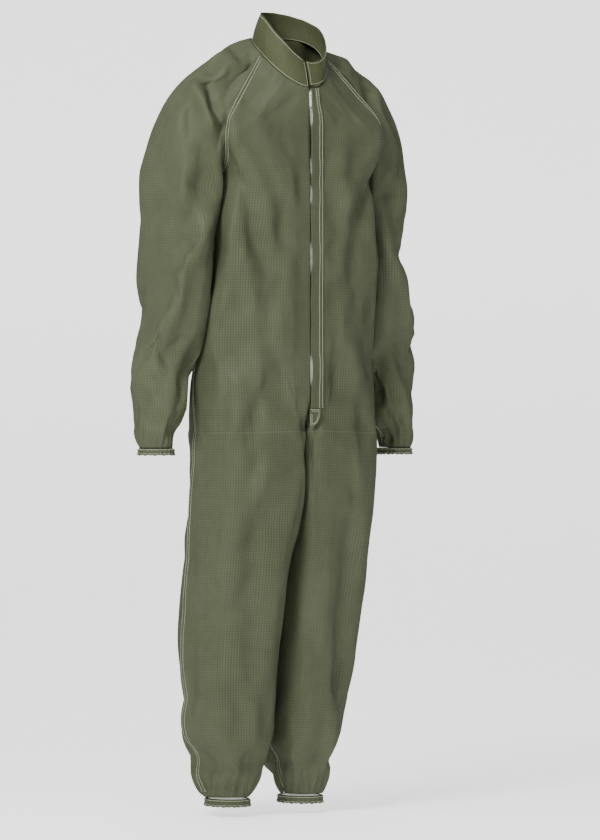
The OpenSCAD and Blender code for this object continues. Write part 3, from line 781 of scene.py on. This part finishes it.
def fold_heights(grid):
    """How far the folds raise each point of a grid."""
    height = np.zeros(grid.shape[:2])
    for k, (start, end, depth, width) in enumerate(FOLDS):
        a, b = np.array(start, float), np.array(end, float)
        run = b - a
        t = ((grid - a) @ run) / (run @ run)
        bow = 14 * math.sin(k * 2.4)
        side = np.cross(run / np.linalg.norm(run), (0.0, 1.0, 0.0))
        spine = a + t[..., None] * run + np.sin(np.pi * np.clip(t, 0, 1))[..., None] * side * bow
        gap = grid - spine
        away = np.sqrt(gap[..., 0] ** 2 + (0.55 * gap[..., 1]) ** 2 + gap[..., 2] ** 2)
        ends = np.clip(t * 4 + 0.4, 0, 1) * np.clip((1 - t) * 4 + 0.4, 0, 1)
        ends = ends * ends * (3 - 2 * ends)
        shape = np.exp(-(away / width) ** 2) - 0.45 * np.exp(-((away - 1.9 * width) / width) ** 2)
        height += 1.2 * depth * ends * shape
    return height


def wrinkle_heights(grid, seed):
    """Small soft wrinkles, longer down the cloth than across it."""
    out = np.zeros(grid.shape[:2])
    for i in range(grid.shape[0]):
        for j in range(grid.shape[1]):
            x, y, z = grid[i, j]
            low = noise.noise(Vector((x / 46 + seed, y / 46, z / 130 + 0.004 * x)))
            mid = noise.noise(Vector((x / 21 + 7 + seed, y / 21, z / 52)))
            fine = noise.noise(Vector((x / 11 + 3 + seed, y / 11, z / 19 + seed)))
            out[i, j] = 1.8 * low + 0.9 * mid + 0.35 * fine
    return out


def fade(z, start, end):
    """0 above start, 1 below end, smooth between (heights in mm)."""
    t = np.clip((start - z) / (start - end), 0, 1)
    return t * t * (3 - 2 * t)


def gathers(grid, turn, z_start, z_end, count, depth, seed):
    """Pleats drawn up by an elastic: they grow towards the hem. turn is the angle round it, in radians."""
    z = grid[..., 2]
    grow = fade(z, z_start, z_end) ** 1.5
    wander = np.sin(turn * 3 + seed) * 1.3 + np.sin(z / 17 + seed) * 0.6
    wave = np.sin(turn * count + wander) + 0.5 * np.sin(turn * count * 0.53 + seed * 2 + z / 23)
    return depth * grow * wave


def sewn_calm(grid, is_panel):
    """Less folding close to seams and edges, where double stitching stiffens the cloth."""
    rows, cols = grid.shape[:2]
    calm = np.ones((rows, cols))
    if is_panel:
        j = np.arange(cols)
        calm *= np.clip(np.minimum(j, cols - 1 - j) / 3 + 0.15, 0, 1)[None, :]
    i = np.arange(rows)
    calm *= np.clip(i / 4, 0, 1)[:, None] * np.clip((rows - 1 - i) / 2, 0, 1)[:, None]
    return calm


# Heights between which the flap stands away from the zip, and how far (1 is the most)
GAPES = [(-84, -166, 1.0), (-218, -264, 0.7), (-272, -322, 0.8), (-384, -448, 0.75), (-602, -664, 1.0)]


def gaping(z):
    return max(share * smooth((top - z) / 12) * smooth((z - low) / 12) for top, low, share in GAPES)


def zip_opening(z):
    """Half width of the gap between the front edges along the zip."""
    return mix(0.5, 3.4, gaping(z)) + 3.4 * gaping(z) * (1 - smooth((-88 - z) / 60))


def outward(side, kind):
    """Sign that turns a grid's normals out of the suit."""
    return side if kind == "back" else -side


SMOOTHINGS = 5
ZIP_COLUMNS = 7


def finish_grid(grid, moved, side, kind, seed):
    """Adds drape, folds, wrinkles and gathers to a grid on its own side of the suit."""
    ring = kind == "sleeve"
    base = grid.copy()
    normal = grid_normals(grid, ring) * outward(side, kind)
    rise = fold_heights(base) + wrinkle_heights(base, seed)
    rise *= sewn_calm(base, not ring)
    z = base[..., 2]
    if kind == "sleeve":
        turn = np.radians(np.array(ANGLES))[None, :] * np.ones((base.shape[0], 1))
        rise += gathers(base, turn, WRIST_GATHER_TOP, Z_WRIST, 17, 2.6, seed)
        damp = 1 - 0.75 * np.exp(-((base[..., 0] * side - 160) / 24) ** 2) * (z < -200)
        rise *= damp
    else:
        angle = np.array([leg_angle(kind == "front", j / COLUMNS) for j in range(COLUMNS + 1)])
        turn = np.radians(angle)[None, :] * np.ones((base.shape[0], 1))
        rise += gathers(base, turn, ANKLE_GATHER_TOP, Z_ANKLE, 19, 3.2, seed)
    shape = base + moved
    if not ring:
        for _ in range(SMOOTHINGS):
            shape[1:-1] = 0.25 * shape[:-2] + 0.5 * shape[1:-1] + 0.25 * shape[2:]
        sewn = z > Z_UNDERARM - 5
        sewn[:, 1:-1] = False
        shape[sewn] = (base + moved)[sewn]
    out = shape + normal * rise[..., None]
    out[0], out[-1] = base[0] + moved[0], base[-1] + moved[-1]
    if kind == "front":
        for i in range(base.shape[0]):
            zz = base[i, 0, 2]
            if zz > Z_CROTCH_START - 10:
                out[i, 0] = base[i, 0]
                out[i, 0, 0] = side * zip_opening(zz)
                for j in range(1, ZIP_COLUMNS):
                    flat = mix(base[i, j, 1], out[i, j, 1], j / ZIP_COLUMNS)
                    out[i, j, 1] = min(flat, base[i, j, 1] + 0.3)
    return out


# ---------------------------------------------------------------- meshes
def link_mesh(name, points, faces, materials):
    mesh = bpy.data.meshes.new(name)
    mesh.from_pydata([tuple(p) for p in points], [], faces)
    mesh.shade_smooth()
    for material in materials:
        mesh.materials.append(material)
    piece = bpy.data.objects.new(name, mesh)
    bpy.context.scene.collection.objects.link(piece)
    return piece


def cut_lengths(grid, zero):
    """Distances across and down a grid, in metres, measured on the flat cut."""
    steps = np.linalg.norm(np.diff(grid, axis=1), axis=2)
    across = np.concatenate([np.zeros((grid.shape[0], 1)), np.cumsum(steps, axis=1)], axis=1)
    across -= across[:, zero:zero + 1]
    falls = np.linalg.norm(np.diff(grid[:, zero], axis=0), axis=1)
    down = np.concatenate([[0], np.cumsum(falls)])[:, None] * np.ones(across.shape)
    return np.stack([across * MM, -down * MM], axis=-1)


def grid_piece(name, grid, pattern, materials, ring=False, flip=False, zero=None, thickness=0.6, levels=1):
    """A cloth piece from a grid of points in millimetres, with its cut's own UV map."""
    rows, cols = grid.shape[:2]
    if ring:
        grid = np.concatenate([grid, grid[:, :1]], axis=1)
        pattern = np.concatenate([pattern, pattern[:, :1]], axis=1)
    uv_grid = cut_lengths(pattern, cols // 2 if zero is None else zero)
    last = cols if ring else cols - 1
    faces, corners = [], []
    for i in range(rows - 1):
        for j in range(last):
            loop = [(i, j), (i, j + 1), (i + 1, j + 1), (i + 1, j)]
            if flip:
                loop.reverse()
            faces.append([r * cols + c % cols for r, c in loop])
            corners += [uv_grid[r, c] for r, c in loop]
    points = grid[:, :cols].reshape(-1, 3) * MM
    piece = link_mesh(name, points, faces, materials)
    layer = piece.data.uv_layers.new(name="cut")
    layer.data.foreach_set("uv", np.array(corners).ravel())
    if levels:
        sub = piece.modifiers.new("smooth", "SUBSURF")
        sub.levels = sub.render_levels = levels
    shell = piece.modifiers.new("cloth", "SOLIDIFY")
    shell.thickness = thickness * MM
    shell.offset = -1
    if len(materials) > 1:
        shell.material_offset = 1
    return piece


STITCH_L, STITCH_GAP, STITCH_W, STITCH_H = 3.1, 1.0, 0.5, 0.42


def along(line, step, length):
    """Starts and ends of stitches along a line of points."""
    line = np.array(line)
    seg = np.linalg.norm(np.diff(line, axis=0), axis=1)
    total = np.concatenate([[0], np.cumsum(seg)])
    starts = np.arange(0, total[-1] - length, step)
    at = lambda s: np.stack([np.interp(s, total, line[:, k]) for k in range(3)], axis=1)
    return at(starts), at(starts + length)


class Stitches:
    """Collects rows of stitches and makes them one piece."""

    def __init__(self, name, size=1.0):
        self.name, self.points, self.faces, self.size = name, [], [], size

    def row(self, line, normals, lift=0.5):
        line, normals = np.array(line), np.array(normals)
        if len(line) < 2:
            return
        a, b = along(line, STITCH_L + STITCH_GAP, STITCH_L)
        na, nb = along(line + normals, STITCH_L + STITCH_GAP, STITCH_L)
        for p, q, pn, qn in zip(a, b, na, nb):
            self.stitch(p, q, (pn - p + qn - q) / 2, lift)

    def stitch(self, p, q, normal, lift):
        wide, high = STITCH_W * self.size, STITCH_H * self.size
        run = q - p
        run /= max(np.linalg.norm(run), 1e-9)
        up = normal / max(np.linalg.norm(normal), 1e-9)
        side = np.cross(run, up)
        side /= max(np.linalg.norm(side), 1e-9)
        first = len(self.points)
        for share, size in ((0, 0.35), (0.18, 1.0), (0.82, 1.0), (1, 0.35)):
            centre = p + (q - p) * share + up * (lift if 0 < share < 1 else lift - 0.3)
            for k in range(6):
                a = k * math.pi / 3
                self.points.append(centre + (side * math.cos(a) * wide + up * math.sin(a) * high) * size)
        for ring in range(3):
            for k in range(6):
                n = (k + 1) % 6
                base = first + ring * 6
                self.faces.append([base + k, base + n, base + 6 + n, base + 6 + k])
        self.faces.append([first + k for k in range(6)][::-1])
        self.faces.append([first + 18 + k for k in range(6)])

    def make(self, material):
        return link_mesh(self.name, np.array(self.points) * MM, self.faces, [material])


def inset_line(lines, normals, distance):
    """From polylines that start at a seam, the points at a distance along each, and the normals there."""
    out, out_n = [], []
    for line, normal in zip(lines, normals):
        seg = np.linalg.norm(np.diff(line, axis=0), axis=1)
        total = np.concatenate([[0], np.cumsum(seg)])
        out.append([np.interp(distance, total, line[:, k]) for k in range(3)])
        out_n.append([np.interp(distance, total, normal[:, k]) for k in range(3)])
    return np.array(out), np.array(out_n)


SEAM_ROWS = (1.8, 8.4)


def panel_stitches(stitches, grid, normals, with_side):
    """Twin rows beside the raglan seam, and on request beside the side seam and the inseam."""
    parts = [(slice(1, UPPER_ROWS + 1), slice(None, -7, -1))]
    if with_side:
        parts += [(slice(UPPER_ROWS + 2, grid.shape[0] - 1), slice(None, -7, -1)),
                  (slice(UPPER_ROWS + len(LEVELS) - 90, grid.shape[0] - 1), slice(0, 6))]
    for distance in SEAM_ROWS:
        for rows, columns in parts:
            stitches.row(*inset_line(grid[rows, columns], normals[rows, columns], distance))


# ---------------------------------------------------------------- collar
# The rim: angle round the neck (0 front, + the wearer's left), share of the neck's size, height
RIM = [(-180, 0.77, 67), (-150, 0.75, 66), (-120, 0.76, 63), (-90, 0.80, 53), (-75, 0.84, 42),
       (-60, 0.85, 22), (-45, 0.85, 6), (-30, 0.83, -13), (-15, 0.79, -26), (-3, 0.76, -34), (0, 0.76, -35),
       (3, 0.77, -36), (15, 0.82, -37), (30, 0.89, -33), (45, 0.96, -22), (60, 0.99, 0), (75, 0.98, 20),
       (90, 0.96, 36), (120, 0.88, 53), (150, 0.81, 63), (180, 0.77, 67)]


def rim_point(a):
    angles = [r[0] for r in RIM]
    size = np.interp(a, angles, [r[1] for r in RIM])
    height = np.interp(a, angles, [r[2] for r in RIM])
    base = neck_point(abs(a))
    return np.array([math.copysign(base[0], a) * size, base[1] * size, height])


def collar_surface(a, t, out=0.0):
    """Point of the collar at angle a, t from the neck seam (0) to the rim (1)."""
    base = neck_point(abs(a))
    base[0] = math.copysign(base[0], a)
    rim = rim_point(a)
    belly = 2.2 * math.sin(math.pi * t)
    p = mix(base, rim, t)
    away = np.array([p[0] / NECK_HALF_W, p[1] / NECK_HALF_D, 0.25])
    away /= np.linalg.norm(away)
    wave = 0.9 * noise.noise(Vector((a / 17, t * 1.4, 2.0)))
    wave += 0.5 * noise.noise(Vector((a / 7, t * 2.5, 5.0)))
    return p + away * (out + belly + wave * math.sin(math.pi * min(1, t + 0.15)))


def smooth_rim():
    """Rounds the corners between the rim's listed points."""
    global RIM
    angles = np.arange(-180, 181, 3.0)
    size = np.interp(angles, [r[0] for r in RIM], [r[1] for r in RIM])
    height = np.interp(angles, [r[0] for r in RIM], [r[2] for r in RIM])
    kernel = np.array([1, 2, 3, 2, 1]) / 9
    pad = lambda x: np.concatenate([x[-3:-1], x, x[1:3]])
    even = lambda x: np.convolve(pad(x), kernel, "valid")
    RIM = list(zip(angles, even(size), even(height)))


def make_collar(cloth, inside, thread):
    smooth_rim()
    angles = list(np.linspace(3, 180, 76)) + list(np.linspace(-180, -3, 76))[1:]
    rows = 14
    grid = np.array([[collar_surface(a, 1 - i / rows) for a in angles] for i in range(rows + 1)])
    piece = grid_piece("collar_band_cloth", grid, grid, [cloth], flip=True, thickness=0.9)
    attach(piece, "suit")
    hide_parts("collar_band")
    inner = np.array([[collar_surface(a, 0.99 * (1 - i / rows), -1.1) for a in angles]
                      for i in range(rows + 1)])
    lining = grid_piece("collar_facing_cloth", inner, inner, [inside], flip=True, thickness=0.7)
    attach(lining, "suit")
    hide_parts("collar_facing")
    rows_of = Stitches("collar_stitching", 0.75)
    normal = lambda a: np.array([math.copysign(neck_point(abs(a))[0], a), neck_point(abs(a))[1], 15.0])
    for share in (0.93, 0.05):
        for part in (np.linspace(5, 180, 90), np.linspace(-180, -5, 90)):
            line = [collar_surface(a, share, 0.3) for a in part]
            rows_of.row(line, [normal(a) / 70 for a in part], 0.3)
    for side in (-1, 1):
        line = [collar_surface(side * 5, t, 0.3) for t in np.linspace(0.06, 0.92, 12)]
        rows_of.row(line, [normal(side * 5) / 70] * 12, 0.3)
    for part in (np.linspace(60, 180, 60), np.linspace(-180, -60, 60)):
        rows_of.row([collar_surface(a, 0.03, -2.2) for a in part], [-normal(a) / 70 for a in part], 0.3)
    sewn = rows_of.make(thread)
    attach(sewn, "suit")
    tab_angles = np.linspace(-1.5, 27, 16)
    tab = np.array([[collar_surface(a, mix(0.98, 0.05, i / 8), 2.6) for a in tab_angles] for i in range(9)])
    tab_piece = grid_piece("collar_tab_cloth", tab, tab, [cloth], flip=True, thickness=1.1)
    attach(tab_piece, "collar_tab")
    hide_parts("collar_tab")
    rows_of = Stitches("collar_tab_stitching", 0.75)
    for share in (0.92, 0.12):
        part = np.linspace(0.8, 26, 14)
        rows_of.row([collar_surface(a, share, 2.9) for a in part], [normal(a) / 70 for a in part], 0.3)
    part = np.linspace(0.12, 0.92, 10)
    rows_of.row([collar_surface(0.8, t, 2.9) for t in part], [normal(1) / 70] * 10, 0.3)
    sewn = rows_of.make(thread)
    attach(sewn, "collar_tab")


# ---------------------------------------------------------------- flap, patch, zip guard
def flap_point(s, z):
    """Point of the storm flap: s from its free edge (0) to its seam (1)."""
    gape = (1 - s) ** 2 * (1.3 + 1.1 * math.sin(z / 37 + 1) + 0.7 * math.sin(z / 15.3))
    edge = (1 - s) * (0.4 * math.sin(z / 29 + 2) + 0.3 * math.sin(z / 11) - 4.6 * (1 - gaping(z)))
    ripple = 0.5 * noise.noise(Vector((s * 1.5, z / 22, 1.0)))
    top_pucker = 1.8 * math.exp(-((z + 100) / 14) ** 2) * math.sin(s * 9)
    top = 1 - smooth((-88 - z) / 75)
    width = FLAP_W - 8 * top
    return np.array([FLAP_X - 3.5 * top + width * s + edge, FRONT_Y - 2.0 - gape - ripple - top_pucker, z])


def make_flap(cloth, thread):
    top, low = -ZIP_TOP + 3, -ZIP_TOP + 3 - FLAP_L
    levels = np.linspace(top, low, 130)
    grid = np.array([[flap_point(s, z) for s in np.linspace(0, 1, 8)] for z in levels])
    piece = grid_piece("storm_flap_cloth", grid, grid, [cloth], flip=True, thickness=1.0)
    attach(piece, "storm_flap")
    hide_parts("storm_flap")
    rows_of = Stitches("storm_flap_stitching")
    up = np.array([0, -1.0, 0])
    for s in (0.68, 0.93):
        rows_of.row([flap_point(s, z) for z in levels], [up] * len(levels), 0.2)
    sewn = rows_of.make(thread)
    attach(sewn, "storm_flap")


PATCH_W, PATCH_H = 21.0, 34.0
PATCH_Z = -ZIP_TOP + 2 - FLAP_L


def patch_outline(inset):
    """The foot of the placket: straight at its top and free side, curved on the other side."""
    left, right = FLAP_X - 7 + inset, FLAP_X - 4 + PATCH_W - inset
    top, shoulder, low = PATCH_Z - inset, PATCH_Z - 6, PATCH_Z - PATCH_H + inset
    turn = np.linspace(0, math.pi / 2, 12)
    bend = [(left + (right - left) * math.cos(a), shoulder - (shoulder - low) * math.sin(a)) for a in turn]
    return [(left, top), (right, top)] + bend


def make_patch(cloth, thread):
    outline = patch_outline(0)
    middle = (FLAP_X + 6, PATCH_Z - 15)
    points, faces = [], []
    rings = 5
    for k in range(rings + 1):
        for x, z in outline:
            points.append((mix(middle[0], x, k / rings), 0, mix(middle[1], z, k / rings)))
    n = len(outline)
    points = np.array(points)
    points[:, 1] = FRONT_Y - 1.6 - 0.9 * np.sin(points[:, 2] / 5.0) * 0.5 + 0.25 * np.sin(points[:, 0] / 3)
    for k in range(rings):
        for j in range(n):
            a, b = k * n + j, k * n + (j + 1) % n
            faces.append([a, b, b + n, a + n])
    uv = points[:, [0, 2]] * MM
    piece = link_mesh("placket_end_cloth", points * MM, faces, [cloth])
    layer = piece.data.uv_layers.new(name="cut")
    loops = np.zeros(len(piece.data.loops), int)
    piece.data.loops.foreach_get("vertex_index", loops)
    layer.data.foreach_set("uv", uv[loops].ravel())
    shell = piece.modifiers.new("cloth", "SOLIDIFY")
    shell.thickness = 1.0 * MM
    shell.offset = 0
    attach(piece, "suit")
    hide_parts("placket_end_patch")
    rows_of = Stitches("placket_end_stitching")
    for inset in (1.6, 4.6):
        ring = patch_outline(inset)
        ring.append(ring[0])
        dense = []
        for (x0, z0), (x1, z1) in zip(ring, ring[1:]):
            dense += [(mix(x0, x1, t), FRONT_Y - 2.3, mix(z0, z1, t)) for t in np.linspace(0, 1, 8)[:-1]]
        rows_of.row(dense, [(0, -1.0, 0)] * len(dense), 0.2)
    sewn = rows_of.make(thread)
    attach(sewn, "suit")


def make_guard(inside):
    low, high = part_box("zip_guard")
    xs = np.linspace(low.x, high.x, 9) / MM
    zs = np.linspace(high.z, low.z, 80) / MM
    y = low.y / MM
    grid = np.array([[(x, y + 0.4 * noise.noise(Vector((x / 9, z / 25, 0))), z) for x in xs] for z in zs])
    piece = grid_piece("zip_guard_cloth", grid, grid, [inside], flip=True, thickness=0.8)
    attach(piece, "suit")
    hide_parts("zip_guard")


# ---------------------------------------------------------------- elastic hems
def casing_grid(place, half_w, half_d, height, pleats, seed):
    """Ruffled ring that stands clear of the elastic inside it, with a wavy lower edge."""
    cols, rows = 120, 10
    out = []
    for i in range(rows + 1):
        t = i / rows
        ring = []
        for j in range(cols):
            a = 2 * math.pi * j / cols
            deep = (0.35 + 0.65 * abs(2 * t - 1)) * 1.5
            wave = math.sin(a * pleats + 0.8 * math.sin(a * 3 + seed))
            wave += 0.5 * math.sin(a * pleats * 0.47 + seed)
            flare = 4.7 * smooth(t / 0.2) - 0.5 * math.sin(math.pi * t) + 1.6 * max(0, t - 0.75)
            k = max(1.5 * deep * wave + flare, 3.4 * smooth(t / 0.15))
            ring.append([place[0] + (half_w + k) * math.cos(a), place[1] + (half_d + k) * math.sin(a),
                         place[2] - height * t + (1.5 * wave if i == rows else 0)])
        out.append(ring)
    return np.array(out)


def make_casing(name, node, body, side, place, half_w, half_d, height, pleats, cloth, thread, seed):
    place = (side * place[0], place[1], place[2])
    grid = casing_grid(place, half_w, half_d, height, pleats, seed)
    piece = grid_piece(name + "_cloth", grid, grid, [cloth], ring=True, flip=True, thickness=0.9)
    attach(piece, body)
    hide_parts(node)
    rows_of = Stitches(name + "_stitching")
    for share in (0.2, 0.8):
        i = int(share * 10)
        line = np.concatenate([grid[i], grid[i][:1]])
        centre = np.array([place[0], place[1], 0])
        rows_of.row(line, (line - centre) * np.array([1, 1, 0]) / half_w, 0.2)
    sewn = rows_of.make(thread)
    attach(sewn, body)


def make_suit(cloth, inside, thread):
    front, back, sleeve = panel_grid(True), panel_grid(False), sleeve_grid()
    shapes = {
        "front_left": (front, 1, "front"), "front_right": (mirrored(front), -1, "front"),
        "back_left": (back, 1, "back"), "back_right": (mirrored(back), -1, "back"),
        "sleeve_left": (sleeve, 1, "sleeve"), "sleeve_right": (mirrored(sleeve), -1, "sleeve")}
    names = list(shapes)
    grids = [shapes[n][0] for n in names]
    closed = [shapes[n][2] == "sleeve" for n in names]
    moves = drape(grids, closed)
    for k, name in enumerate(names):
        grid, side, kind = shapes[name]
        final = finish_grid(grid, moves[k], side, kind, 1.7 * k)
        flip = outward(side, kind) < 0
        if kind == "sleeve":
            make_sleeve(name, final, grid, side, flip, cloth, inside, thread)
        else:
            make_panel(name, final, grid, side, kind, flip, cloth, inside, thread)


def make_panel(name, final, grid, side, kind, flip, cloth, inside, thread):
    piece = grid_piece(name + "_cloth", final, grid, [cloth, inside], flip=flip, zero=COLUMNS // 2)
    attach(piece, "suit")
    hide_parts({"front_left": "front_left_panel", "front_right": "front_right_panel",
                        "back_left": "back_left_panel", "back_right": "back_right_panel"}[name])
    normals = grid_normals(final, False) * outward(side, kind)
    rows_of = Stitches(name + "_stitching")
    panel_stitches(rows_of, final, normals, kind == "front")
    if kind == "back" and side > 0:
        for distance in SEAM_ROWS:
            part = slice(1, UPPER_ROWS + len(LEVELS) - 92)
            rows_of.row(*inset_line(final[part, :6], normals[part, :6], distance))
    sewn = rows_of.make(thread)
    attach(sewn, "suit")


def make_sleeve(name, final, grid, side, flip, cloth, inside, thread):
    piece = grid_piece(name + "_cloth", final, grid, [cloth, inside], ring=True, flip=flip,
                       zero=len(ANGLES) // 2)
    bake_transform(piece)
    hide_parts(name, name + "_cap")
    normals = grid_normals(final, True) * -side
    rows_of = Stitches(name + "_stitching")
    low = slice(1, final.shape[0] - 1)
    for distance in SEAM_ROWS:
        rows_of.row(*inset_line(final[low, :5], normals[low, :5], distance))
    sewn = rows_of.make(thread)
    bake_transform(sewn)


def make_hems(cloth, thread):
    wrist, ankle = SLEEVE[-1], LEGS[-1]
    ankle_x, ankle_half = (ankle[1] + ankle[2]) / 2, (ankle[2] - ankle[1]) / 2
    for side, word in ((1, "left"), (-1, "right")):
        make_casing("wrist_hem_" + word, "wrist_casing_" + word, "sleeve_" + word, side,
                    (wrist[1], wrist[2], wrist[0]), wrist[3], wrist[4], WRIST_CASING_H, 23,
                    cloth, thread, side)
        make_casing("ankle_hem_" + word, "ankle_casing_" + word, "suit", side,
                    (ankle_x, ankle[3], ankle[0]), ankle_half, ankle[4], ANKLE_CASING_H, 27,
                    cloth, thread, 2 * side)


def dress_cad_nodes():
    """Gives each CAD node that stays its own finished material."""
    white = plastic_material("zip_white", (0.90, 0.90, 0.88, 1), 0.42)
    tape = tape_material()
    elastic = plastic_material("elastic_cover", (0.72, 0.72, 0.68, 1), 0.7)
    metal = metal_material()
    looks = {"zip_teeth_right": white, "zip_teeth_left": white, "zip_slider": white, "zip_pull": white,
             "zip_top_stops": white, "zip_bottom_stop": white, "zip_tape_right": tape, "zip_tape_left": tape,
             "wrist_elastic_right": elastic, "wrist_elastic_left": elastic, "ankle_elastic_right": elastic,
             "ankle_elastic_left": elastic, "collar_snap_stud": metal, "collar_snap_socket": metal}
    for node, look in looks.items():
        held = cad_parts[node]
        for piece in held if isinstance(held, (list, tuple)) else [held]:
            piece.data.materials.clear()
            piece.data.materials.append(look)


make_camera()
make_lights()
make_stage()
outer_cloth = cloth_material("suit_cloth", CLOTH, CLOTH_DARK, CLOTH_LIGHT)
inner_cloth = cloth_material("suit_cloth_inside", (0.060, 0.068, 0.034, 1), (0.030, 0.036, 0.014, 1),
                             (0.085, 0.092, 0.052, 1), 0.35)
collar_cloth = cloth_material("collar_cloth", (0.052, 0.060, 0.029, 1), (0.020, 0.025, 0.009, 1),
                              (0.086, 0.095, 0.052, 1), 0.6)
thread_look = thread_material()
make_suit(outer_cloth, inner_cloth, thread_look)
make_collar(collar_cloth, inner_cloth, thread_look)
make_flap(outer_cloth, thread_look)
make_patch(outer_cloth, thread_look)
make_guard(inner_cloth)
make_hems(outer_cloth, thread_look)
dress_cad_nodes()
